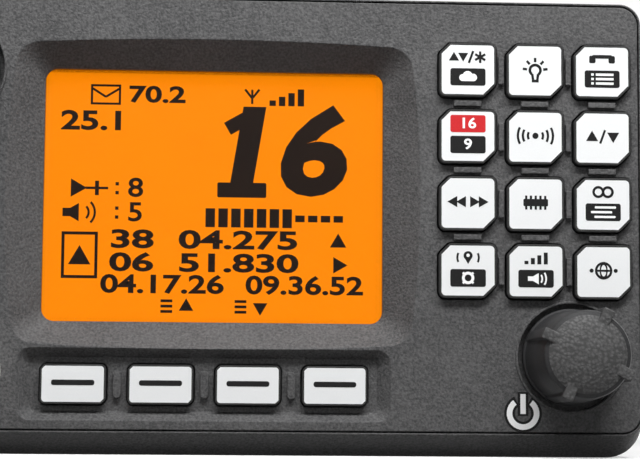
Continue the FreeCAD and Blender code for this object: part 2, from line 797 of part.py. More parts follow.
def make_key(label, corners, x, z, front, width, height, radius):
    """A cap that passes through the panel, with a flange behind the panel that holds it in."""
    body = new_body(label, x, front, z)
    cap = sketch_at(body)
    rounded(cap, corners)
    feature(body, "Pad", cap, flange_front - front)
    flange = sketch_at(body, flange_front - front)
    rounded_rectangle(flange, as_size(0), as_size(0), width + 2 * key_flange, height + 2 * key_flange, radius)
    feature(body, "Pad", flange, key_flange_thickness)


def make_mat(label, places, x, z, width, height):
    """A rubber sheet on the board with a plunger behind each key."""
    body = new_body(label, 0, 0, 0)
    sheet_front = board_depth - mat_thickness
    skin = sketch_at(body, sheet_front)
    rounded_rectangle(skin, x, z, width, height, mat_margin)
    feature(body, "Pad", skin, mat_thickness)
    plungers = sketch_at(body, plunger_front)
    for plunger_x, plunger_z in places:
        circle(plungers, plunger_x, plunger_z, plunger_radius)
    feature(body, "Pad", plungers, sheet_front - plunger_front)


def make_keys():
    for number, (x, z) in enumerate(key_places):
        make_key(f"key_{number + 1}", key_cap, x, z, -key_proud, key_width, key_height, key_corner)
    for number, (x, z) in enumerate(soft_places):
        make_key(f"soft_key_{number + 1}", soft_cap, x, z, soft_below_face, soft_width, soft_height,
                 soft_corner)
    make_mat("keypad_mat", key_places, keypad_x, keypad_z, 2 * key_pitch_x + key_width,
             3 * key_pitch_z + key_height)
    make_mat("soft_key_mat", soft_places, soft_x, soft_z, 3 * soft_pitch + soft_width, soft_height)


def make_knob(name, x, z):
    """A grip knob on its shaft, which slides in a rotor that turns in the encoder's housing."""
    knob = new_body(f"{name}_knob", x, 0, z)
    shaft_tip = knob_cap - proud_knob
    turned(knob, [
        (shaft_radius, skirt_back), (skirt_radius, skirt_back),
        (skirt_radius, skirt_back - skirt_edge), (knob_base_radius, skirt_back - skirt_thickness),
        (knob_top_radius, knob_edge + knob_dome - proud_knob),
        (knob_top_radius - knob_edge, knob_dome - proud_knob),
        (dome_shoulder, dome_fall - proud_knob), (as_size(0), -proud_knob),
        (as_size(0), shaft_tip), (shaft_radius, shaft_tip),
    ])
    lug_front = knob_dome - proud_knob
    lug = sketch_at(knob, lug_front)
    rectangle(lug, lug_reach - lug_width / 2, as_size(0), lug_width, lug_width)
    pad = feature(knob, "Pad", lug, skirt_back - skirt_thickness - lug_front)
    pattern = knob.newObject("PartDesign::PolarPattern", knob.Name + "_lugs")
    pattern.Originals = [pad]
    pattern.Axis = (lug, ["N_Axis"])
    pattern.Angle = 360
    pattern.Occurrences = 4
    knob.Tip = pattern
    knob.Placement.Rotation = FreeCAD.Rotation(FreeCAD.Vector(0, 1, 0), lug_turn.value)

    shaft = new_body(f"{name}_shaft", x, 0, z)
    rotor_front = board_depth - rotor_length - encoder_floor
    stem = sketch_at(shaft, shaft_tip)
    circle(stem, as_size(0), as_size(0), shaft_radius)
    feature(shaft, "Pad", stem, rotor_front - knob_travel - running_gap - shaft_tip)
    tail = sketch_at(shaft, rotor_front - knob_travel - running_gap)
    rectangle(tail, as_size(0), as_size(0), tail_side, tail_side)
    feature(shaft, "Pad", tail, rotor_length + knob_travel)

    rotor = new_body(f"{name}_rotor", x, rotor_front, z)
    ring = sketch_at(rotor)
    circle(ring, as_size(0), as_size(0), rotor_radius)
    rectangle(ring, as_size(0), as_size(0), tail_side + 2 * running_gap, tail_side + 2 * running_gap)
    feature(rotor, "Pad", ring, rotor_length)

    housing_front = panel_thickness
    housing = new_body(f"{name}_encoder", x, housing_front, z)
    block = sketch_at(housing)
    rectangle(block, as_size(0), as_size(0), encoder_side, encoder_side)
    feature(housing, "Pad", block, board_depth - housing_front)
    neck = sketch_at(housing)
    circle(neck, as_size(0), as_size(0), shaft_radius + shaft_gap)
    feature(housing, "Pocket", neck, rotor_front - housing_front)
    chamber = sketch_at(housing, rotor_front - housing_front - running_gap)
    circle(chamber, as_size(0), as_size(0), rotor_radius + running_gap)
    feature(housing, "Pocket", chamber, rotor_length + 2 * running_gap)
    sump = sketch_at(housing, rotor_front - housing_front)
    circle(sump, as_size(0), as_size(0), sump_radius)
    feature(housing, "Pocket", sump, rotor_length + knob_travel + tail_gap)


def make_speaker():
    cloth = new_body("speaker_cloth", speaker_x, panel_thickness, speaker_z)
    outline = sketch_at(cloth)
    rounded_rectangle(outline, (slot_left + slot_right) / 2 - speaker_x, slot_middle_z - speaker_z,
                      slot_right - slot_left + 2 * cloth_margin,
                      (slot_count - 1) * slot_pitch + slot_height + 2 * cloth_margin, cloth_corner)
    feature(cloth, "Pad", outline, cloth_thickness)
    corner = sketch_at(cloth)
    rounded_rectangle(corner, second_knob_x - speaker_x, second_knob_z - speaker_z,
                      encoder_side + 2 * encoder_clearance, encoder_side + 2 * encoder_clearance,
                      encoder_clearance)
    feature(cloth, "Pocket", corner, cloth_thickness)
    frame = new_body("speaker_frame", speaker_x, panel_thickness + cloth_thickness, speaker_z)
    inner = speaker_radius - speaker_lip
    turned(frame, [
        (inner, as_size(0)), (speaker_radius, as_size(0)), (speaker_radius, speaker_rim),
        (inner + speaker_sheet, speaker_rim), (basket_radius, basket_depth), (basket_hole, basket_depth),
        (basket_hole, basket_depth - speaker_sheet),
        (basket_radius - speaker_sheet, basket_depth - speaker_sheet), (inner, speaker_rim),
    ])
    cone = new_body("speaker_cone", speaker_x, panel_thickness + cloth_thickness, speaker_z)
    edge = inner - cone_gap
    turned(cone, [
        (as_size(0), dust_cap_depth), (basket_hole, cone_depth), (edge - surround_width, cone_front),
        (edge, cone_front), (edge, cone_front + cone_thickness),
        (edge - surround_width, cone_front + cone_thickness),
        (basket_hole, cone_depth + cone_thickness), (as_size(0), dust_cap_depth + cone_thickness),
    ])
    keep(rod("magnet", speaker_x, panel_thickness + cloth_thickness + basket_depth, speaker_z,
             magnet_radius, magnet_length), "speaker_magnet")


def make_mic_socket():
    socket = new_body("mic_socket", mic_x, 0, mic_z)
    back = board_depth
    turned(socket, [
        (mic_bore_radius, -mic_proud), (mic_sleeve_radius, -mic_proud),
        (mic_sleeve_radius, -mic_flange_thickness), (mic_flange_radius, -mic_flange_thickness),
        (mic_flange_radius, as_size(0)), (mic_sleeve_radius, as_size(0)),
        (mic_sleeve_radius, back), (mic_bore_radius - mic_step, back),
        (mic_bore_radius - mic_step, mic_bore_depth - mic_proud),
        (mic_bore_radius, mic_bore_depth - mic_proud),
    ])
    contacts = new_body("mic_contacts", mic_x, mic_bore_depth - mic_proud, mic_z)
    block = sketch_at(contacts)
    circle(block, as_size(0), as_size(0), mic_bore_radius - mic_step)
    feature(contacts, "Pad", block, board_depth + mic_proud - mic_bore_depth)
    holes = sketch_at(contacts)
    for number in range(mic_contact_count):
        angle = 2 * math.pi * number / mic_contact_count
        circle(holes, mic_contact_ring * math.sin(angle), mic_contact_ring * math.cos(angle),
               mic_contact_radius)
    feature(contacts, "Pocket", holes, mic_contact_depth)


def make_distress():
    """The key, and a cover hinged along its upper edge."""
    key = new_body("distress_key", distress_x, distress_face_depth, distress_z)
    cap = sketch_at(key)
    rounded_rectangle(cap, as_size(0), as_size(0), distress_width, distress_height, distress_corner)
    feature(key, "Pad", cap, flange_front - distress_face_depth)
    flange = sketch_at(key, flange_front - distress_face_depth)
    rounded_rectangle(flange, as_size(0), as_size(0), distress_width + 2 * key_flange,
                      distress_height + 2 * key_flange, distress_corner)
    feature(key, "Pad", flange, key_flange_thickness)

    width = pocket_width - 2 * cover_gap
    low = distress_z - pocket_height / 2 + cover_gap
    cover = new_body("distress_cover", distress_x - width / 2, 0, 0)
    profile = sketch_at(cover, 0, "YZ_Plane")
    shell_front = -hinge_proud - hinge_radius
    polygon(profile, [
        (shell_front, hinge_z), (shell_front, low + cover_wall), (shell_front + cover_wall, low),
        (pocket_depth - cover_gap, low), (pocket_depth - cover_gap, low + cover_wall),
        (shell_front + cover_wall, low + 2 * cover_wall), (shell_front + cover_wall, hinge_z),
    ])
    feature(cover, "Pad", profile, width, backwards=False)
    barrel = sketch_at(cover, 0, "YZ_Plane")
    circle(barrel, -hinge_proud, hinge_z, hinge_radius)
    feature(cover, "Pad", barrel, width, backwards=False)
    bore = sketch_at(cover, 0, "YZ_Plane")
    circle(bore, -hinge_proud, hinge_z, hinge_pin_radius + running_gap)
    feature(cover, "Pocket", bore, width, backwards=False)

    pin = doc.addObject("Part::Cylinder", "pin")
    drive(pin, "Radius", hinge_pin_radius)
    drive(pin, "Height", pocket_width + 2 * hinge_lug)
    pin.Placement.Rotation = FreeCAD.Rotation(FreeCAD.Vector(0, 1, 0), 90)
    place(pin, distress_x - pocket_width / 2 - hinge_lug, face_y - hinge_proud, hinge_z)
    keep(pin, "distress_hinge_pin")


def make_boards():
    width, height = board_right - board_left, board_top - board_bottom
    middle_x, middle_z = (board_left + board_right) / 2, (board_bottom + board_top) / 2
    blank = box("control_blank", middle_x, board_depth, middle_z, width, board_thickness, height)
    drills = [rod(f"control_drill_{number + 1}", x, board_depth, z, small_screw_radius + screw_gap,
                  board_thickness) for number, (x, z) in enumerate(post_places)]
    keep(cut("control_board", blank, drills), "control_board")
    board_back = board_depth + board_thickness
    screws = []
    for number, (x, z) in enumerate(post_places):
        head = rod(f"board_head_{number + 1}", x, board_back, z, small_head_radius, small_head_height)
        shank_length = small_screw_length
        shank = rod(f"board_shank_{number + 1}", x, board_back - shank_length, z, small_screw_radius,
                    shank_length)
        screw = doc.addObject("Part::Fuse", f"board_screw_{number + 1}")
        screw.Base, screw.Tool = head, shank
        screws.append(screw)
    group("board_screws", screws)


def make_gasket():
    body = new_body("case_gasket", 0, bezel_depth, 0)
    middle = (flange_low + flange_high) / 2
    outer = sketch_at(body)
    rounded_rectangle(outer, as_size(0), middle, 2 * flange_half, flange_high - flange_low,
                      front_corner - flange_inset)
    rounded_rectangle(outer, as_size(0), (chassis_low + chassis_high) / 2, chassis_width - 2 * chassis_wall,
                      chassis_high - chassis_low - 2 * chassis_wall, chassis_corner)
    for x, z in case_screw_places:
        circle(outer, x, z, case_screw_radius + screw_gap)
    feature(body, "Pad", outer, gasket_thickness)


def make_chassis():
    body = new_body("rear_chassis", 0, chassis_front, 0)
    flange_middle = (flange_low + flange_high) / 2
    middle = (chassis_low + chassis_high) / 2
    height = chassis_high - chassis_low
    flange = sketch_at(body)
    rounded_rectangle(flange, as_size(0), flange_middle, 2 * flange_half, flange_high - flange_low,
                      front_corner - flange_inset)
    feature(body, "Pad", flange, flange_thickness)
    shell = sketch_at(body)
    rounded_rectangle(shell, as_size(0), middle, chassis_width, height, chassis_corner)
    feature(body, "Pad", shell, chassis_depth)
    for side in (-1, 1):
        skid = sketch_at(body, flange_thickness)
        rectangle(skid, skid_x * side, (chassis_low + root) / 2, skid_width, chassis_low + root)
        feature(body, "Pad", skid, chassis_depth - flange_thickness)
    inside = sketch_at(body)
    rounded_rectangle(inside, as_size(0), middle, chassis_width - 2 * chassis_wall,
                      height - 2 * chassis_wall, chassis_corner)
    feature(body, "Pocket", inside, chassis_depth - chassis_wall)

    # cooling fins across the back and along the top
    rear = sketch_at(body, chassis_depth)
    first_x = fin_pitch * (1 - rear_fin_count) / 2
    rectangle(rear, first_x, (rear_fin_low + rear_fin_high) / 2, fin_thickness, rear_fin_high - rear_fin_low)
    rear_fin = feature(body, "Pad", rear, rear_fin_depth)
    repeat(body, rear_fin, rear, rear_fin_count)
    top = sketch_at(body, top_fin_start)
    rectangle(top, fin_pitch * (1 - top_fin_count) / 2, chassis_high + (top_fin_height - root) / 2,
              fin_thickness, top_fin_height + root)
    top_fin = feature(body, "Pad", top, chassis_depth - top_fin_start)
    repeat(body, top_fin, top, top_fin_count)

    # standoffs for the radio board
    standoffs = sketch_at(body, 0, "XY_Plane")
    standoffs.setExpression("AttachmentOffset.Base.z", (chassis_low + chassis_wall).text)
    for x, y in standoff_places():
        circle(standoffs, x, y, standoff_radius)
    feature(body, "Pad", standoffs, main_board_z - chassis_low - chassis_wall, backwards=False)
    pilots = sketch_at(body, 0, "XY_Plane")
    pilots.setExpression("AttachmentOffset.Base.z", main_board_z.text)
    for x, y in standoff_places():
        circle(pilots, x, y, small_screw_radius + screw_gap)
    feature(body, "Pocket", pilots, small_screw_length, backwards=True)

    holes = sketch_at(body)
    for x, z in case_screw_places:
        circle(holes, x, z, case_screw_radius + screw_gap)
    feature(body, "Pocket", holes, flange_thickness)


def repeat(body, original, sketch, count):
    pattern = body.newObject("PartDesign::LinearPattern", body.Name + "_row")
    pattern.Originals = [original]
    pattern.Direction = (sketch, ["H_Axis"])
    drive(pattern, "Length", fin_pitch * (count - 1))
    pattern.Occurrences = count
    body.Tip = pattern


def standoff_places():
    """Places of the radio board's screws, across and back from the chassis's front."""
    reach = main_board_width / 2 - standoff_inset
    return [(reach * side, main_board_start + inset)
            for side in (-1, 1) for inset in (standoff_inset, main_board_length - standoff_inset)]


def make_case_screws():
    screws = []
    head_front = chassis_front + flange_thickness
    for number, (x, z) in enumerate(case_screw_places):
        head = rod(f"case_head_{number + 1}", x, head_front, z, case_head_radius, case_head_height)
        shank = rod(f"case_shank_{number + 1}", x, head_front - case_screw_length, z, case_screw_radius,
                    case_screw_length)
        screw = doc.addObject("Part::Fuse", f"case_screw_{number + 1}")
        screw.Base, screw.Tool = head, shank
        screws.append(screw)
    group("chassis_screws", screws)


def make_radio_board():
    start = chassis_front + main_board_start
    board = box("radio_blank", as_size(0), start, main_board_z + board_thickness / 2, main_board_width,
                main_board_length, board_thickness)
    drills = []
    screws = []
    for number, (x, back) in enumerate(standoff_places()):
        drill = doc.addObject("Part::Cylinder", f"radio_drill_{number + 1}")
        drive(drill, "Radius", small_screw_radius + screw_gap)
        drive(drill, "Height", board_thickness)
        place(drill, x, face_y + chassis_front + back, main_board_z)
        drills.append(drill)
        head = doc.addObject("Part::Cylinder", f"radio_head_{number + 1}")
        drive(head, "Radius", small_head_radius)
        drive(head, "Height", small_head_height)
        place(head, x, face_y + chassis_front + back, main_board_z + board_thickness)
        shank = doc.addObject("Part::Cylinder", f"radio_shank_{number + 1}")
        drive(shank, "Radius", small_screw_radius)
        drive(shank, "Height", small_screw_length)
        place(shank, x, face_y + chassis_front + back, main_board_z + board_thickness - small_screw_length)
        screw = doc.addObject("Part::Fuse", f"radio_screw_{number + 1}")
        screw.Base, screw.Tool = head, shank
        screws.append(screw)
    keep(cut("main_board", board, drills), "main_board")
    group("main_board_screws", screws)
    on_board = main_board_z + board_thickness
    can = box("can", shield_x, start + shield_start, on_board + shield_height / 2, shield_width,
              shield_length, shield_height)
    hollow = box("can_hollow", shield_x, start + shield_start + shield_wall,
                 on_board + shield_height / 2 - shield_wall, shield_width - 2 * shield_wall,
                 shield_length - 2 * shield_wall, shield_height)
    keep(cut("rf_shield", can, [hollow]), "rf_shield")
    keep(box("power_block", power_x, start + power_start, on_board + power_height / 2, power_width,
             power_length, power_height), "power_module")

    # a flat ribbon from the control board back to the radio board
    ribbon = new_body("ribbon_cable", -ribbon_width / 2, 0, 0)
    profile = sketch_at(ribbon, 0, "YZ_Plane")
    front = board_depth + board_thickness
    bend = front + ribbon_run
    high = on_board + ribbon_lift
    foot = start + ribbon_landing
    polygon(profile, [
        (front, high), (bend, high), (foot, on_board), (foot + ribbon_landing, on_board),
        (foot + ribbon_landing, on_board + ribbon_thickness),
        (foot + ribbon_thickness, on_board + ribbon_thickness),
        (bend + ribbon_thickness, high + ribbon_thickness), (front, high + ribbon_thickness),
    ])
    feature(ribbon, "Pad", profile, ribbon_width, backwards=False)


def make_rear_fittings():
    socket = new_body("antenna_socket", antenna_x, chassis_back, rear_fitting_z)
    plate = sketch_at(socket)
    rounded_rectangle(plate, as_size(0), as_size(0), antenna_flange_side, antenna_flange_side, antenna_corner)
    feature(socket, "Pad", plate, antenna_flange_thickness)
    sleeve = sketch_at(socket, antenna_flange_thickness)
    circle(sleeve, as_size(0), as_size(0), antenna_thread_radius)
    feature(socket, "Pad", sleeve, antenna_thread_length - antenna_flange_thickness)
    hollow = sketch_at(socket, antenna_thread_length)
    circle(hollow, as_size(0), as_size(0), antenna_inner_radius)
    feature(socket, "Pocket", hollow, antenna_thread_length - antenna_flange_thickness, backwards=False)

    contact = new_body("antenna_contact", antenna_x, chassis_back + antenna_flange_thickness, rear_fitting_z)
    core = sketch_at(contact)
    circle(core, as_size(0), as_size(0), antenna_inner_radius)
    core_length = antenna_thread_length - antenna_flange_thickness - antenna_recess
    feature(contact, "Pad", core, core_length)
    hole = sketch_at(contact, core_length)
    circle(hole, as_size(0), as_size(0), antenna_hole_radius)
    feature(contact, "Pocket", hole, antenna_hole_depth, backwards=False)

    glands = [("power_gland", gland_x, as_size(1)), ("data_gland", data_gland_x, data_gland_share)]
    for label, x, share in glands:
        gland = new_body(label, x, chassis_back, rear_fitting_z)
        mouth = gland_length
        turned(gland, [
            (as_size(0), as_size(0)), (gland_radius * share, as_size(0)), (gland_radius * share, gland_collar),
            (gland_tip_radius * share, mouth), (gland_hole_radius * share, mouth),
            (gland_hole_radius * share, mouth - gland_hole_depth), (as_size(0), mouth - gland_hole_depth),
        ])


def make_bracket_inserts():
    """Round threaded inserts on the two sides, which take the bracket's knobs."""
    for label, side in (("bracket_insert_left", -1), ("bracket_insert_right", 1)):
        body = new_body(label, (chassis_width / 2) * side, chassis_front + insert_depth, insert_z)
        face = sketch_at(body, 0, "YZ_Plane")
        circle(face, as_size(0), as_size(0), insert_radius)
        circle(face, as_size(0), as_size(0), insert_bore)
        feature(body, "Pad", face, insert_length, backwards=side < 0)


make_front_bezel()
make_front_panel()
make_display()
make_keys()
make_knob("channel", knob_x, knob_z)
make_knob("volume", second_knob_x, second_knob_z)
make_speaker()
make_mic_socket()
make_distress()
make_boards()
make_gasket()
make_chassis()
make_case_screws()
make_radio_board()
make_rear_fittings()
make_bracket_inserts()

doc.recompute()

for item in doc.Objects:
    if "Invalid" in item.State or "Error" in item.State:
        raise RuntimeError(f"{item.Name} failed: {item.State}")
for item in pieces:
    if item.Shape.isNull() or not item.Shape.isValid():
        raise RuntimeError(f"{item.Label} has no valid shape")

os.makedirs("parts", exist_ok=True)
for item in pieces:
    item.Shape.exportStep(os.path.join("parts", item.Label + ".step"))
print(len(pieces), "pieces written")
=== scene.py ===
import json
import math

import bpy
from mathutils import Euler, Matrix, Vector


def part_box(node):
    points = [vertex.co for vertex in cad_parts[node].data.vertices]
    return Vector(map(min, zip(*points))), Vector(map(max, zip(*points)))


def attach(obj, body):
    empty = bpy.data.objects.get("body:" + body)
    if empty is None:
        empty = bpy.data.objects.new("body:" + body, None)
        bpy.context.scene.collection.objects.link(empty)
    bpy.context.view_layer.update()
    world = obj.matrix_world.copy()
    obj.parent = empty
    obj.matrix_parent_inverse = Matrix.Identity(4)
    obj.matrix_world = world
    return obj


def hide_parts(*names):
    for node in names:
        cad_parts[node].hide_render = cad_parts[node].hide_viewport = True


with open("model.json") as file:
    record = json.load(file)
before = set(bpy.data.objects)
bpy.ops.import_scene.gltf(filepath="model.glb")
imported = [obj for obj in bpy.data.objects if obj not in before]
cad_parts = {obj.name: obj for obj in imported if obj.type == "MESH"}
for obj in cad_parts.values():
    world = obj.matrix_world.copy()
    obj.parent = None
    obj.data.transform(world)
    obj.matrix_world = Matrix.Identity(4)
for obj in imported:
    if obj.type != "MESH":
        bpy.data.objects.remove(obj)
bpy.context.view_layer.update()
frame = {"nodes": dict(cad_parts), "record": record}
nodes = frame["nodes"]
mm = 0.001
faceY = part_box("lcd_module")[0].y - 6 * mm   # the display module stands 6 mm behind the face
bpy.ops.object.select_all(action="DESELECT")
print("frame loaded,", len(nodes), "nodes")


# Materials

class Num:   # a socket that maths can be written with
    def __init__(self, finish, socket):
        self.finish = finish
        self.socket = socket

    def maths(self, operation, first, second):
        return self.finish.node("Math", {"operation": operation}, {0: first, 1: second})

    def __add__(self, other):
        return self.maths("ADD", self, other)

    def __sub__(self, other):
        return self.maths("SUBTRACT", self, other)

    def __mul__(self, other):
        return self.maths("MULTIPLY", self, other)

    def __gt__(self, other):
        return self.maths("GREATER_THAN", self, other)


class Finish:   # one material: a principled shader and the nodes that feed it
    def __init__(self, name, **sockets):
        self.material = bpy.data.materials.new(name)
        self.material.use_nodes = True
        self.tree = self.material.node_tree
        self.shader = self.tree.nodes["Principled BSDF"]
        self.place = self.node("TexCoord", {}, {}, "Object")
        self.feed(self.shader, sockets)

    def feed(self, node, sockets):
        for key, value in sockets.items():
            if isinstance(key, str) and key not in node.inputs:
                key = key.replace("_", " ")
            if isinstance(value, Num):
                self.tree.links.new(value.socket, node.inputs[key])
            else:
                node.inputs[key].default_value = value

    def node(self, kind, settings, sockets, out=0):
        made = self.tree.nodes.new("ShaderNode" + kind)
        for key, value in settings.items():
            setattr(made, key, value)
        self.feed(made, sockets)
        return Num(self, made.outputs[out])

    def noise(self, size, detail=2, rough=0.5):   # size is the grain in millimetres
        sockets = {"Vector": self.place, "Scale": 1 / (size * mm), "Detail": detail, "Roughness": rough}
        return self.node("TexNoise", {}, sockets)

    def cells(self, size):   # size is the cells' pitch in millimetres
        return self.node("TexVoronoi", {}, {"Vector": self.place, "Scale": 1 / (size * mm)})

    def axis(self, name):
        return self.node("SeparateXYZ", {}, {0: self.place}, name)

    def wave(self, value, pitch):   # 0 to 1 along a millimetre pitch
        return self.node("Math", {"operation": "SINE"}, {0: value * (2 * math.pi / (pitch * mm))}) * 0.5 + 0.5

    def grade(self, value, low, high, start=0, end=1):
        span = {"From Min": start, "From Max": end, "To Min": low, "To Max": high}
        return self.node("MapRange", {}, {"Value": value, **span})

    def mix(self, factor, first, second):
        sides = ((6, first), (7, second))
        tints = {key: tint if isinstance(tint, Num) else (*tint, 1) for key, tint in sides}
        return self.node("Mix", {"data_type": "RGBA"}, {0: factor, **tints}, 2)

    def bump(self, height, depth, edge=0.0):   # depth and the rounding of edges in millimetres
        sockets = {"Height": height, "Distance": depth * mm}
        if edge:
            sockets["Normal"] = self.node("Bevel", {"samples": 6}, {"Radius": edge * mm})
        return self.node("Bump", {}, sockets)

    def use(self, **sockets):
        self.feed(self.shader, sockets)
        return self.material


def grainy(name, dark, light, rough, grain, depth, edge=0.25, **fixed):   # moulded plastic, rubber or paint
    made = Finish(name, **fixed)
    fine = made.noise(grain, 3, 0.6)
    cloud = made.noise(14, 3)
    return made.use(
        Base_Color=made.mix(made.grade(fine * 0.6 + cloud * 0.4, 0, 1, 0.3, 0.7), dark, light),
        Roughness=made.grade(cloud, rough[0], rough[1], 0.3, 0.7),
        Normal=made.bump(fine, depth, edge))


def brushed(name, tint, rough, pitch, axis="Z", edge=0.2):   # plated or turned metal with fine lines
    made = Finish(name, Metallic=1.0)
    lines = made.wave(made.axis(axis) + made.noise(6) * 0.0004, pitch)
    stain = made.noise(5, 3)
    pale = tuple(min(1, part * 1.15) for part in tint)
    return made.use(
        Base_Color=made.mix(made.grade(stain, 0, 1, 0.3, 0.7), tuple(part * 0.85 for part in tint), pale),
        Roughness=made.grade(stain, rough[0], rough[1], 0.3, 0.7),
        Normal=made.bump(lines + made.noise(0.3) * 0.5, 0.01, edge))


def clothFinish():
    made = Finish("speakerCloth", Sheen_Weight=0.2)
    weave = made.wave(made.axis("X"), 0.7) * made.wave(made.axis("Z"), 0.7)
    return made.use(
        Base_Color=made.mix(weave, (0.004, 0.004, 0.004), (0.03, 0.03, 0.032)),
        Roughness=made.grade(weave, 0.95, 0.8),
        Normal=made.bump(weave + made.noise(0.5) * 0.4, 0.15))


def boardFinish():
    made = Finish("circuitBoard", Coat_Weight=0.4)
    tracks = made.node("TexBrick", {}, {"Vector": made.place, "Scale": 320.0, "Mortar Size": 0.03}, 1)
    pads = made.cells(2.6) > 0.93
    green = made.mix(tracks, (0.008, 0.09, 0.035), (0.02, 0.2, 0.08))
    return made.use(
        Base_Color=made.mix(pads, green, (0.75, 0.55, 0.25)),
        Roughness=made.grade(made.noise(2), 0.25, 0.5),
        Metallic=pads * 0.8,
        Normal=made.bump(tracks, 0.03))


def displayFinish():
    made = Finish("orangeDisplay", Emission_Strength=0.93, Specular_IOR_Level=0.1)
    low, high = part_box("lcd_module")
    middle = (low + high) / 2
    across = made.node("Math", {"operation": "ABSOLUTE"}, {0: made.axis("X") - middle.x})
    along = made.node("Math", {"operation": "ABSOLUTE"}, {0: made.axis("Z") - middle.z})
    edge = made.node("Math", {"operation": "MAXIMUM"}, {0: across - 0.0302, 1: along - 0.0226})
    shade = made.grade(edge, 1, 0, -0.0012, 0.0002) * 0.12 + made.grade(edge, 0.88, 0, 0, 0.0003)
    glow = made.mix(made.noise(9, 2) * 0.5 + shade * 0.5, (0.98, 0.255, 0.0), (1.0, 0.275, 0.001))
    tint = made.mix(shade, (0.05, 0.012, 0.0), glow)
    lit = made.mix(made.noise(9, 2), (0.2, 0.045, 0.0), (0.24, 0.055, 0.001))
    dim = made.mix(shade, (0.01, 0.004, 0.0), lit)
    return made.use(Base_Color=dim, Emission_Color=tint, Roughness=made.grade(made.noise(1), 0.5, 0.6))


def lensFinish():
    made = Finish("clearWindow", IOR=1.45, Specular_IOR_Level=0.05)
    haze = made.noise(12, 2)
    return made.use(
        Base_Color=made.mix(haze, (0.03, 0.03, 0.03), (0.05, 0.05, 0.05)),
        Roughness=made.grade(haze, 0.06, 0.12),
        Alpha=made.grade(haze, 0.03, 0.05))


# a pale cap whose edge and skirt are black, repeated at the keys' pitch
def keyFinish(name, key, front, shape):
    made = Finish(name)
    low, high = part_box(key)
    middle = (low + high) / 2

    def fromMiddle(axis, place, pitch):   # how far a point is from the middle of the nearest key
        turns = (made.axis(axis) - place) * (1 / (pitch * mm)) + 100.5
        return (made.node("Math", {"operation": "FRACT"}, {0: turns}) - 0.5) * (pitch * mm)

    x = fromMiddle("X", middle.x, shape["across"])
    z = fromMiddle("Z", middle.z, shape["down"])
    wide, tall, corner = shape["width"] / 2 * mm, shape["height"] / 2 * mm, shape["corner"] * mm
    side = x.maths("MAXIMUM", x.maths("ABSOLUTE", x, 0) - (wide - corner), 0)
    rise = x.maths("MAXIMUM", x.maths("ABSOLUTE", z, 0) - (tall - corner), 0)
    edge = x.maths("SQRT", side * side + rise * rise, 0) - corner
    for way, cut in ((1, shape["cutTop"]), (-1, shape["cutBottom"])):
        edge = x.maths("MAXIMUM", edge, ((z - x) * way - (wide + tall - cut * mm)) * 0.7071)
    black = x.maths("MAXIMUM", edge > -shape["rim"] * mm, made.axis("Y") > front + skirtDepth * mm)
    fine = made.noise(0.25, 3)
    pale = made.mix(fine, (0.77, 0.785, 0.79), (0.83, 0.84, 0.845))
    return made.use(
        Base_Color=made.mix(black, pale, (0.006, 0.006, 0.006)),
        Roughness=made.grade(made.noise(8, 2), 0.4, 0.52) + black * 0.3,
        Normal=made.bump(fine, 0.008, 0.22))


skirtDepth = 0.35   # the black skirt starts this far behind a cap's front, in millimetres
keyShape = {"across": 12.07, "down": 11.97, "width": 10.15, "height": 9.6, "corner": 1.1, "cutTop": 1.8,
            "cutBottom": 2.2, "rim": 0.38}
softShape = {"across": 15.25, "down": 40, "width": 11.4, "height": 6.9, "corner": 0.9, "cutTop": 0.75,
             "cutBottom": 0.75, "rim": 0.32}
distressShape = {"across": 60, "down": 60, "width": 15, "height": 7, "corner": 1.0, "cutTop": 0,
                 "cutBottom": 0, "rim": 0.32}
keyFront = {"proud": 1.2, "softSunk": 0.4, "distressSunk": 0.2}   # the caps' fronts from the face


def caseFinish():   # dark moulded plastic with the fine spark-eroded texture of instrument fronts
    made = Finish("casePlastic", Specular_IOR_Level=0.2)
    fine = made.noise(0.42, 2, 0.55)
    pits = made.cells(0.5)
    cloud = made.noise(11, 3)
    speck = made.grade(fine * 0.75 + cloud * 0.25, 0, 1, 0.36, 0.64)
    return made.use(
        Base_Color=made.mix(speck, (0.045, 0.045, 0.046), (0.108, 0.107, 0.108)),
        Roughness=made.grade(cloud, 0.5, 0.6, 0.3, 0.7),
        Normal=made.bump(fine + pits * 0.35, 0.11, 0.3))


def paintedLightKnobTopFinish():   # pebbled grip texture on the knob's dark plastic, painted paler than the sides as painted light, paler on the pebbles' tops and darker between them as painted light and shade
    made = Finish("paintedLightKnobTopPlastic", Specular_IOR_Level=0.2)
    rise = made.grade(made.cells(0.6) * 0.8 + made.noise(0.45, 2) * 0.7, 1, 0, 0.3, 0.95)
    return made.use(
        # painted light and shade: the pebbles' tops are coloured paler and the hollows between them darker,
        # and the whole top paler than the knob's sides
        Base_Color=made.mix(rise, (0.05, 0.05, 0.05), (0.115, 0.114, 0.115)),
        Roughness=made.grade(rise, 0.65, 0.5),
        Normal=made.bump(rise, 0.08, 0.2))


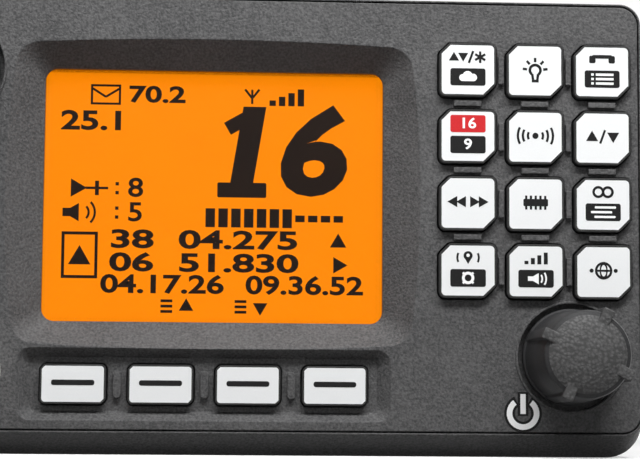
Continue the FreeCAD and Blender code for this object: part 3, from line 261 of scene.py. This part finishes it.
finishes = {
    "case_plastic": caseFinish(),
    "pale_plastic": grainy("palePlastic", (0.66, 0.66, 0.62), (0.8, 0.8, 0.76), (0.4, 0.5), 0.5, 0.01),
    "rubber": grainy("blackRubber", (0.018, 0.018, 0.018), (0.04, 0.04, 0.04), (0.7, 0.85), 0.4, 0.03),
    # the knob's sides: its dark plastic coloured darker than the top, as painted shade
    "knob": grainy("paintedShadeKnobPlastic", (0.016, 0.016, 0.017), (0.034, 0.034, 0.035), (0.42, 0.55), 0.4, 0.03, 0.25,
                   Specular_IOR_Level=0.15),
    "paintedLightKnobTop": paintedLightKnobTopFinish(),
    "steel": brushed("platedSteel", (0.55, 0.55, 0.56), (0.25, 0.4), 0.25),
    "cloth": clothFinish(),
    "cone": grainy("pressedPaper", (0.02, 0.02, 0.02), (0.055, 0.055, 0.055), (0.8, 0.95), 0.5, 0.08),
    "magnet": grainy("ferrite", (0.06, 0.06, 0.062), (0.14, 0.14, 0.14), (0.5, 0.7), 0.3, 0.03),
    "bright_metal": brushed("nickelPlate", (0.7, 0.69, 0.66), (0.12, 0.24), 0.18, "X"),
    "black_plastic": grainy("blackPlastic", (0.018, 0.018, 0.018), (0.035, 0.035, 0.036), (0.3, 0.42), 0.3,
                            0.012),
    "key_plastic": keyFinish("keyPlastic", "key_1", faceY - keyFront["proud"] * mm, keyShape),
    "softKey": keyFinish("softKeyPlastic", "soft_key_1", faceY + keyFront["softSunk"] * mm, softShape),
    "distressKey": keyFinish("distressKeyPlastic", "distress_key", faceY + keyFront["distressSunk"] * mm,
                             distressShape),
    "red_plastic": grainy("redPlastic", (0.5, 0.008, 0.008), (0.64, 0.016, 0.014), (0.28, 0.4), 0.3, 0.01),
    "board": boardFinish(),
    "cast_metal": grainy("powderCoat", (0.022, 0.022, 0.024), (0.05, 0.05, 0.053), (0.45, 0.6), 0.6, 0.07,
                         0.4),
    "display": displayFinish(),
    "lens": lensFinish(),
}
ink = grainy("blackInk", (0.004, 0.004, 0.004), (0.01, 0.01, 0.01), (0.55, 0.7), 0.3, 0.004, 0,
             Specular_IOR_Level=0.15)
whiteInk = grainy("whiteInk", (0.9, 0.9, 0.91), (0.96, 0.96, 0.96), (0.35, 0.45), 0.3, 0.004, 0)
redInk = grainy("redInk", (0.5, 0.006, 0.01), (0.6, 0.01, 0.014), (0.35, 0.45), 0.3, 0.004, 0)
segments = grainy("displaySegments", (0.005, 0.002, 0.001), (0.012, 0.005, 0.002), (0.5, 0.6), 0.4, 0.004, 0,
                  Specular_IOR_Level=0.1)

slots = {row["node"]: row["material_slot"] for row in frame["record"]["subparts"]}
for name, node in nodes.items():
    node.data.materials.clear()
    kind = "softKey" if name.startswith("soft_key_") and name != "soft_key_mat" else slots[name]
    kind = "distressKey" if name == "distress_key" else kind
    node.data.materials.append(finishes[kind])
print("finishes made,", len(finishes))


# Marks: thin printed shapes on a face that looks towards the front

def apply(piece):
    bpy.ops.object.select_all(action="DESELECT")
    piece.select_set(True)
    bpy.context.view_layer.objects.active = piece
    bpy.ops.object.transform_apply(location=True, rotation=True, scale=True)
    return piece


class Marks:   # x and z are millimetres from the middle, lift is how far a mark stands before the face
    def __init__(self, name, body, slot, x, y, z):
        self.name = name
        self.body = body
        self.slot = slot
        self.middle = Vector((x, y, z))
        self.made = []

    def keep(self, x, z, lift, finish):
        piece = bpy.context.active_object
        step = 0.0007 * len(self.made)   # later marks stand a touch further out, so none share a plane
        piece.location = self.middle + Vector((x * mm, -(lift + step - 0.015) * mm, z * mm))
        apply(piece)
        piece.data.materials.clear()
        piece.data.materials.append(finish)
        self.made.append(piece)

    def bar(self, x, z, width, height, finish=ink, turn=0, lift=0.03, corner=0.0):
        bpy.ops.mesh.primitive_cube_add(size=1)
        piece = bpy.context.active_object
        piece.scale = (width * mm, 0.03 * mm, height * mm)
        apply(piece)
        if corner:
            bevel = piece.modifiers.new("corner", "BEVEL")
            bevel.affect = "EDGES"
            bevel.width = corner * mm
            bevel.segments = 5
            bevel.limit_method = "WEIGHT"
            weights = piece.data.attributes.new("bevel_weight_edge", "FLOAT", "EDGE")
            for edge in piece.data.edges:
                ends = [piece.data.vertices[v].co for v in edge.vertices]
                weights.data[edge.index].value = 1.0 if abs((ends[0] - ends[1]).y) > 0.01 * mm else 0.0
            bpy.ops.object.modifier_apply(modifier="corner")
        piece.rotation_euler = (0, math.radians(turn), 0)
        self.keep(x, z, lift, finish)

    def disc(self, x, z, radius, finish=ink, sides=28, turn=0, lift=0.03, squeeze=1):
        bpy.ops.mesh.primitive_cylinder_add(vertices=sides, radius=radius * mm, depth=0.03 * mm)
        piece = bpy.context.active_object
        piece.rotation_euler = (math.radians(90), 0, 0)
        apply(piece)
        piece.rotation_euler = (0, math.radians(turn), 0)
        piece.scale = (squeeze, 1, 1)
        self.keep(x, z, lift, finish)

    def arc(self, x, z, radius, width, start=0, sweep=360, finish=ink, lift=0.03, squeeze=1):
        bpy.ops.mesh.primitive_plane_add(size=1)
        piece = bpy.context.active_object
        piece.scale = (width * mm, 0.03 * mm, 1)
        piece.location = (radius * mm, 0, 0)
        apply(piece)
        piece.data.transform(Matrix.Rotation(math.radians(-start), 4, "Y"))
        bpy.ops.object.mode_set(mode="EDIT")
        bpy.ops.mesh.select_all(action="SELECT")
        bpy.ops.mesh.spin(steps=max(6, round(sweep / 12)), angle=math.radians(sweep), center=(0, 0, 0),
                          axis=(0, 1, 0))
        bpy.ops.mesh.select_all(action="SELECT")
        bpy.ops.mesh.remove_doubles(threshold=0.002 * mm)
        bpy.ops.mesh.normals_make_consistent(inside=False)
        bpy.ops.object.mode_set(mode="OBJECT")
        piece.scale = (squeeze, 1, 1)
        self.keep(x, z, lift, finish)

    def number(self, x, z, text, height, finish=ink, bold=0.0, slant=0.0, wide=1.0, lift=0.03):
        bpy.ops.object.text_add()
        piece = bpy.context.active_object
        piece.data.body = text
        piece.data.size = height * mm / 0.73
        piece.data.align_x = "CENTER"
        piece.data.align_y = "CENTER"
        piece.data.offset = bold * mm
        piece.data.shear = slant
        piece.data.extrude = 0.015 * mm
        piece.data.resolution_u = 4
        bpy.ops.object.convert(target="MESH")
        piece = bpy.context.active_object
        piece.rotation_euler = (math.radians(90), 0, 0)
        piece.scale = (wide, 1, 1)
        self.keep(x, z, lift, finish)

    def done(self):
        bpy.ops.object.select_all(action="DESELECT")
        for piece in self.made:
            piece.select_set(True)
        bpy.context.view_layer.objects.active = self.made[0]
        bpy.ops.object.join()
        piece = bpy.context.active_object
        piece.name = self.name
        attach(piece, self.body)
        return piece


# Key legends: a plain number or a pictogram, and on some keys a dark box with a pale pictogram under it

legend = {"high": 2.3, "low": -1.3, "single": 0.25, "boxWidth": 6.3, "boxHeight": 3.1, "boxCorner": 0.4}


def darkBox(marks, finish=ink, z=legend["low"]):
    marks.bar(0, z, legend["boxWidth"], legend["boxHeight"], finish, corner=legend["boxCorner"])


def arrow(marks, x, z, size, turn, finish=ink, lift=0.03):
    marks.disc(x, z, size, finish, sides=3, turn=turn, lift=lift)


def arrowsAndCloud(marks):
    z = legend["high"]
    arrow(marks, -2.5, z - 0.15, 1.05, 0)
    arrow(marks, -0.85, z + 0.2, 1.05, 180)
    marks.bar(0.55, z, 0.42, 2.3, turn=20)
    for turn in (0, 60, 120):
        marks.bar(2.2, z, 0.42, 2.1, turn=turn)
    darkBox(marks)
    for x, rise, radius in ((-0.95, -0.15, 0.62), (-0.05, 0.15, 0.9), (0.95, -0.1, 0.68)):
        marks.disc(x, legend["low"] + rise, radius, whiteInk, lift=0.05)
    marks.bar(0, legend["low"] - 0.5, 2.5, 0.55, whiteInk, lift=0.05, corner=0.2)


def bulb(marks):
    marks.arc(0, 0.1, 0.95, 0.5, -50, 280)
    marks.bar(-0.45, -1.15, 0.46, 1.2, turn=-8)
    marks.bar(0.45, -1.15, 0.46, 1.2, turn=8)
    marks.bar(0, -1.85, 1.25, 0.5)
    for turn in (-84, -42, 0, 42, 84):
        way = math.radians(turn)
        marks.bar(1.85 * math.sin(way), 0.1 + 1.85 * math.cos(way), 0.44, 0.8, turn=turn)


def handsetAndList(marks):
    z = legend["high"]
    marks.bar(0, z + 0.45, 3.6, 0.65, corner=0.25)
    for side in (-1, 1):
        marks.bar(side * 1.75, z - 0.05, 1.15, 1.35, corner=0.3)
    darkBox(marks)
    for rise in (0.8, 0, -0.8):
        marks.bar(-1.75, legend["low"] + rise, 0.45, 0.42, whiteInk, lift=0.05)
        marks.bar(0.45, legend["low"] + rise, 3.2, 0.42, whiteInk, lift=0.05)


def sixteenAndNine(marks):
    darkBox(marks, redInk, 2.25)
    marks.number(0, 2.25, "16", 1.9, whiteInk, 0.06, wide=1.15, lift=0.05)
    darkBox(marks, z=-1.5)
    marks.number(0, -1.5, "9", 1.9, whiteInk, 0.06, wide=1.15, lift=0.05)


def nearAndFarWaves(marks):
    z = legend["single"]
    marks.disc(0, z, 0.55)
    for radius in (1.35, 2.25, 3.15):
        marks.arc(0, z, radius, 0.42, -28, 56)
        marks.arc(0, z, radius, 0.42, 152, 56)


def upAndDown(marks):
    z = legend["single"]
    arrow(marks, -1.9, z - 0.15, 1.25, 0)
    arrow(marks, 1.9, z + 0.15, 1.25, 180)
    marks.bar(0, z, 0.4, 2.6, turn=20)


def scanArrows(marks):
    z = legend["single"]
    for side in (-1, 1):
        arrow(marks, side * 2.5, z, 1.15, side * 90)
        arrow(marks, side * 0.95, z, 1.15, side * 90)


def memoryChip(marks):
    z = legend["single"]
    marks.bar(0, z, 4.4, 1.3, corner=0.2)
    for place in range(5):
        for side in (-1, 1):
            marks.bar(-1.7 + 0.85 * place, z + side * 0.95, 0.4, 0.6)


def ringsAndFog(marks):
    for side in (-1, 1):
        marks.arc(side * 0.85, legend["high"], 0.85, 0.45)
    darkBox(marks)
    for rise, shift in ((0.85, 0.4), (0, -0.3), (-0.85, 0.3)):
        marks.bar(shift, legend["low"] + rise, 3.8, 0.4, whiteInk, lift=0.05, corner=0.16)


def pinAndRing(marks):
    z = legend["high"]
    marks.disc(0, z + 0.35, 0.8)
    arrow(marks, 0, z - 0.4, 0.75, 180)
    marks.disc(0, z + 0.4, 0.3, whiteInk, lift=0.05)
    for side in (-1, 1):
        marks.arc(0, z, 1.9, 0.36, -25 if side > 0 else 155, 50)
    darkBox(marks)
    marks.arc(0, legend["low"], 0.85, 0.5, finish=whiteInk, lift=0.05)
    for turn in (45, 135, 225, 315):
        way = math.radians(turn)
        marks.bar(1.05 * math.sin(way), legend["low"] + 1.05 * math.cos(way), 0.4, 0.55, whiteInk, turn, 0.06)


def barsAndHorn(marks):
    for place, tall in enumerate((0.6, 1.1, 1.6, 2.1)):
        marks.bar(-1.7 + 1.15 * place, legend["high"] - 1.05 + tall / 2, 0.7, tall)
    darkBox(marks)
    arrow(marks, -0.1, legend["low"], 1.15, -90, whiteInk, 0.05)
    marks.bar(-1.0, legend["low"], 0.9, 0.8, whiteInk, lift=0.05)
    for radius in (1.3, 2.0):
        marks.arc(-0.2, legend["low"], radius, 0.3, -32, 64, whiteInk, 0.05)


def globe(marks):
    z = legend["single"]
    marks.arc(0, z, 1.35, 0.42)
    marks.arc(0, z, 1.3, 0.55, squeeze=0.45)
    marks.bar(0, z, 2.6, 0.36)
    for side in (-1, 1):
        marks.disc(side * 2.15, z, 0.36)


drawings = [arrowsAndCloud, bulb, handsetAndList, sixteenAndNine, nearAndFarWaves, upAndDown, scanArrows,
            memoryChip, ringsAndFog, pinAndRing, barsAndHorn, globe]
for number, drawing in enumerate(drawings, 1):
    low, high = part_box(f"key_{number}")
    marks = Marks(f"key_{number}_legend", f"key_{number}", "key_plastic", (low.x + high.x) / 2, low.y,
                  (low.z + high.z) / 2)
    drawing(marks)
    marks.done()

dash = {"width": 7.5, "height": 0.95}
for number in range(1, 5):
    low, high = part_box(f"soft_key_{number}")
    marks = Marks(f"soft_key_{number}_dash", f"soft_key_{number}", "key_plastic", (low.x + high.x) / 2, low.y,
                  (low.z + high.z) / 2)
    marks.bar(0, 0.25, dash["width"], dash["height"], corner=0.4)
    marks.done()

power = {"x": 67.8, "z": 7.7, "radius": 2.4, "line": 1.0, "outline": 0.45}
marks = Marks("power_symbol", "case", "case_plastic", power["x"] * mm, faceY, power["z"] * mm)
wide = power["line"] + 2 * power["outline"]
marks.arc(0, 0, power["radius"], wide, 118, 304, lift=0.02)
marks.bar(0, 1.65, wide, 4.2, lift=0.02)
marks.arc(0, 0, power["radius"], power["line"], 127, 286, whiteInk, 0.04)
marks.bar(0, 1.65, power["line"] * 0.95, 3.5, whiteInk, lift=0.04)
marks.done()
print("keys and power symbol marked")


# What the display shows: plain numbers, bars and pictograms, millimetres from the window's middle

low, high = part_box("display_lens")
marks = Marks("display_segments", "case", "display", (low.x + high.x) / 2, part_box("lcd_module")[0].y,
              (low.z + high.z) / 2)


def shown(kind, *values, **named):
    getattr(marks, kind)(*values, finish=segments, **named)


envelope = {"x": -19.6, "z": 18.35, "width": 5.4, "height": 3.7, "line": 0.4}
for side in (-1, 1):
    shown("bar", envelope["x"] + side * 2.5, envelope["z"], envelope["line"], envelope["height"])
    shown("bar", envelope["x"], envelope["z"] + side * 1.65, envelope["width"], envelope["line"])
    shown("bar", envelope["x"] + side * 1.3, envelope["z"] + 0.4, envelope["line"], 3.1, turn=side * 58)
shown("number", -10.4, 18.35, "70.2", 3.0, bold=0.12, wide=1.45)
shown("number", -21.6, 13.45, "25.1", 3.5, bold=0.13, wide=1.45)

aerial = {"x": 6.7, "z": 18.35, "height": 2.6, "line": 0.4}
shown("bar", aerial["x"], aerial["z"], aerial["line"], aerial["height"])
for side in (-1, 1):
    shown("bar", aerial["x"] + side * 0.7, aerial["z"] + 0.6, aerial["line"], 1.9, turn=side * 38)
for place, tall in enumerate((1.0, 1.7, 2.4, 3.1)):
    shown("bar", 10.4 + 1.7 * place, 16.75 + tall / 2, 1.15, tall)

# the large number, whose one has a flag and a foot
shown("number", 10.9, 7.65, "16", 15.6, bold=0.72, slant=0.14, wide=1.16)
shown("bar", 4.2, 13.55, 4.4, 2.5, turn=-30)
shown("bar", 5.0, 1.35, 8.8, 2.7, corner=0.3)

levels = {"squelch": 1.4, "volume": -3.0, "colon": -17.3, "digit": -14.0}
for z, value in ((levels["squelch"], "8"), (levels["volume"], "5")):
    shown("number", levels["digit"], z, value, 3.5, bold=0.08, wide=1.2)
    for side in (1, -1):
        shown("bar", levels["colon"], z + side * 0.8, 0.6, 0.6)
shown("disc", -24.6, levels["squelch"], 1.9, sides=3, turn=90)
shown("bar", -20.9, levels["squelch"], 4.0, 0.45)
shown("bar", -20.9, levels["squelch"], 0.7, 2.6)
shown("disc", -25.0, levels["volume"], 1.9, sides=3, turn=-90)
shown("bar", -26.2, levels["volume"], 1.5, 1.5)
for radius in (1.5, 2.6):
    shown("arc", -23.8, levels["volume"], radius, 0.4, -45, 90)

meter = {"x": -0.6, "z": -3.7, "pitch": 2.3, "width": 1.7, "full": 7, "tall": 3.4, "short": 1.2}
for place in range(11):
    tall = meter["tall"] if place < meter["full"] else meter["short"]
    shown("bar", meter["x"] + meter["pitch"] * place, meter["z"], meter["width"], tall)

frameMark = {"x": -23.8, "z": -10.65, "line": 0.55}
for side in (-1, 1):
    shown("bar", frameMark["x"] + side * 2.95, frameMark["z"], frameMark["line"], 8.3)
    shown("bar", frameMark["x"], frameMark["z"] + side * 3.9, 6.4, frameMark["line"])
shown("disc", frameMark["x"], -11.2, 2.3, sides=3)

rows = {"upper": -7.85, "lower": -12.0, "last": -15.9, "height": 3.3}
shown("number", -1.6, rows["upper"], "38  04.275", rows["height"], bold=0.13, wide=1.75)
shown("number", -1.6, rows["lower"], "06  51.830", rows["height"], bold=0.13, wide=1.75)
shown("disc", 22.4, rows["upper"] - 0.1, 1.7, sides=3)
shown("disc", 22.4, rows["lower"], 1.7, sides=3, turn=90)
shown("number", -9.0, rows["last"], "04.17.26", rows["height"], bold=0.12, wide=1.42)
shown("number", 16.4, rows["last"], "09.36.52", rows["height"], bold=0.12, wide=1.36)
for x, turn in ((-6.5, 0), (6.7, 180)):   # three lines and an arrow over each of two soft keys
    for z in (-19.65, -20.6, -18.7):
        shown("bar", x - 1.7, z, 2.1, 0.5)
    shown("disc", x + 1.8, -19.7, 1.5, sides=3, turn=turn)
marks.done()
print("display shown")


# Knobs: a skirt, a tapering body with a bevelled rim, a domed top and four lugs

knobShape = {"skirt": 8.6, "skirtBack": -1.0, "skirtHigh": 1.1, "foot": 8.2, "waist": 8.0, "top": 7.6,
             "rim": 0.9, "dome": 1.5, "proud": 17.0, "lugReach": 8.5, "lugWidth": 2.0, "lugTurn": 26.0,
             "lugProud": 0.45, "lugDeep": 3.2, "lugRound": 0.25,
             "domeRings": ((5.7, 0.95), (4.4, 0.55), (2.6, 0.18), (0.8, 0.0))}


def frontFaces(piece, level):
    mesh = piece.data
    for part in (mesh.vertices, mesh.edges, mesh.polygons):
        part.foreach_set("select", [False] * len(part))
    for face in mesh.polygons:
        face.select = face.normal.y < -0.9 and face.center.y < level


def makeKnob(name, x, z):
    shape = knobShape
    bpy.ops.object.select_all(action="DESELECT")
    high = shape["skirtHigh"] * mm
    bpy.ops.mesh.primitive_cylinder_add(vertices=96, radius=shape["skirt"] * mm, depth=high)
    knob = bpy.context.active_object
    knob.rotation_euler = (math.radians(90), 0, 0)
    knob.location = (0, (-shape["skirtBack"] - shape["skirtHigh"] / 2) * mm, 0)
    apply(knob)
    frontFaces(knob, 0)
    bpy.ops.object.mode_set(mode="EDIT")
    bpy.ops.mesh.select_mode(type="FACE")
    level = -(shape["skirtHigh"] + shape["skirtBack"])
    radius = shape["skirt"]
    # each ring of the profile: how far in and how far forwards
    rings = [(shape["foot"], level - 0.3), ((shape["foot"] + shape["top"]) / 2, -shape["waist"]),
             (shape["top"], -(shape["proud"] - shape["dome"] - shape["rim"])),
             (shape["top"] - 0.25, -(shape["proud"] - shape["dome"] - 0.3)),
             (shape["top"] - shape["rim"], -(shape["proud"] - shape["dome"])),
             *((ring, -(shape["proud"] - fall)) for ring, fall in shape["domeRings"])]
    for ring, depth in rings:
        bpy.ops.mesh.extrude_region_move(TRANSFORM_OT_translate={"value": (0, (depth - level) * mm, 0)})
        scale = ring / radius
        bpy.ops.transform.resize(value=(scale, 1, scale), center_override=(0, 0, 0))
        radius = ring
        level = depth
    bpy.ops.object.mode_set(mode="OBJECT")
    knob.data.materials.append(finishes["knob"])
    knob.data.materials.append(finishes["paintedLightKnobTop"])
    # faces before the dome's edge take the paler painted-light top finish, the rest the darker painted-shade
    # side finish
    for face in knob.data.polygons:
        face.material_index = int(face.center.y < -(shape["proud"] - shape["dome"] - 0.02) * mm)
    lugs = []
    for number in range(4):
        bpy.ops.object.select_all(action="DESELECT")
        bpy.ops.mesh.primitive_cube_add(size=1)
        lug = bpy.context.active_object
        lowest = shape["skirtHigh"] + shape["skirtBack"]
        length = shape["proud"] - shape["dome"] + shape["lugProud"] - lowest
        lug.scale = (shape["lugDeep"] * mm, length * mm, shape["lugWidth"] * mm)
        lug.location = ((shape["lugReach"] - shape["lugDeep"] / 2) * mm, -(lowest + length / 2) * mm, 0)
        apply(lug)
        bevel = lug.modifiers.new("round", "BEVEL")
        bevel.width = shape["lugRound"] * mm
        bevel.segments = 3
        bpy.ops.object.modifier_apply(modifier="round")
        lug.data.transform(Matrix.Rotation(math.radians(shape["lugTurn"] + 90 * number), 4, "Y"))
        lug.data.materials.append(finishes["knob"])
        lug.data.materials.append(finishes["paintedLightKnobTop"])
        # the lugs' front faces take the paler painted-light finish, their other faces the darker
        # painted-shade finish
        for face in lug.data.polygons:
            face.material_index = int(face.normal.y < -0.3)
        lugs.append(lug)
    bpy.ops.object.select_all(action="DESELECT")
    for lug in lugs:
        lug.select_set(True)
    knob.select_set(True)
    bpy.context.view_layer.objects.active = knob
    bpy.ops.object.join()
    knob.location = (x, faceY, z)
    apply(knob)
    bpy.ops.object.shade_smooth_by_angle(angle=math.radians(40))
    knob.name = f"{name}_knob_cap"
    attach(knob, f"{name}_knob")
    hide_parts(f"{name}_knob")


for name in ("channel", "volume"):
    low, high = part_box(f"{name}_shaft")
    makeKnob(name, (low.x + high.x) / 2, (low.z + high.z) / 2)
print("knobs made")


# Studio

studio = {"floor": 3.0, "worldLevel": 0.1, "nearFloor": 0.3, "farFloor": 1.0}
lamps = {   # where each stands, where it points, its width and height, its watts
    "topLight": ((0.06, -0.23, 0.3), (0.03, -0.05, 0.06), 0.3, 0.08, 1.85),
    "leftLight": ((-0.7, -0.9, 0.5), (0, 0, 0.04), 0.6, 0.6, 0.5),
    "backLight": ((0.5, 0.8, 0.7), (0, 0, 0.04), 0.6, 0.6, 4.0),
}
bpy.ops.object.select_all(action="DESELECT")
bpy.ops.mesh.primitive_plane_add(size=studio["floor"])
floor = bpy.context.active_object
floor.name = "studio_floor"
ground = Finish("paleFloor", Specular_IOR_Level=0.1, Emission_Strength=1.0)
# the floor looks pale, yet throws little light back up at the radio
looked = ground.node("LightPath", {}, {}, "Is Camera Ray")
for other in ("Is Glossy Ray", "Is Transmission Ray"):
    looked = looked.maths("MAXIMUM", looked, ground.node("LightPath", {}, {}, other))
reach = looked.maths("SQRT", ground.axis("X") * ground.axis("X") + ground.axis("Y") * ground.axis("Y"), 0)
far = ground.grade(reach, 0, 1, studio["nearFloor"], studio["farFloor"])
pale = ground.mix(ground.noise(90, 2), (0.6, 0.6, 0.6), (0.65, 0.65, 0.65))
ground.use(Base_Color=ground.mix(looked, (0.15, 0.15, 0.15), pale),
           Emission_Color=ground.mix(looked, (0, 0, 0), ground.mix(far, (0.38, 0.38, 0.38), (1, 1, 1))),
           Roughness=ground.grade(ground.noise(60), 0.85, 0.95))
floor.data.materials.append(ground.material)

world = bpy.data.worlds.new("studio")
bpy.context.scene.world = world
world.use_nodes = True
tree = world.node_tree
sky = tree.nodes["Background"]
sky.inputs["Color"].default_value = (1, 1, 1, 1)
sky.inputs["Strength"].default_value = studio["worldLevel"]
white = tree.nodes.new("ShaderNodeBackground")
white.inputs["Strength"].default_value = 1.0
white.inputs["Color"].default_value = (1, 1, 1, 1)
seen = tree.nodes.new("ShaderNodeLightPath")
choose = tree.nodes.new("ShaderNodeMixShader")
ray = seen.outputs["Is Camera Ray"]
for other in ("Is Glossy Ray", "Is Transmission Ray"):
    either = tree.nodes.new("ShaderNodeMath")
    either.operation = "MAXIMUM"
    tree.links.new(ray, either.inputs[0])
    tree.links.new(seen.outputs[other], either.inputs[1])
    ray = either.outputs[0]
tree.links.new(ray, choose.inputs["Fac"])
tree.links.new(sky.outputs[0], choose.inputs[1])
tree.links.new(white.outputs[0], choose.inputs[2])
tree.links.new(choose.outputs[0], tree.nodes["World Output"].inputs["Surface"])


def lamp(name, place, target, width, height, watts):
    data = bpy.data.lights.new(name, "AREA")
    data.shape = "RECTANGLE"
    data.size = width
    data.size_y = height
    data.energy = watts
    made = bpy.data.objects.new(name, data)
    bpy.context.scene.collection.objects.link(made)
    made.location = place
    made.rotation_euler = (Vector(target) - Vector(place)).to_track_quat("-Z", "Y").to_euler()


for name, values in lamps.items():
    lamp(name, *values)

view = {"place": (0.01346, -0.38874, 0.00581), "turn": (95.7621, -0.406, -3.1726), "lens": 107.465}
eye = bpy.data.cameras.new("camera")
eye.lens = view["lens"]
eye.sensor_width = 36
eye.clip_start = 0.01
camera = bpy.data.objects.new("camera", eye)
bpy.context.scene.collection.objects.link(camera)
camera.location = view["place"]
camera.rotation_euler = Euler([math.radians(part) for part in view["turn"]], "XYZ")
bpy.context.scene.camera = camera
bpy.context.scene.view_settings.view_transform = "Standard"

print("studio ready")
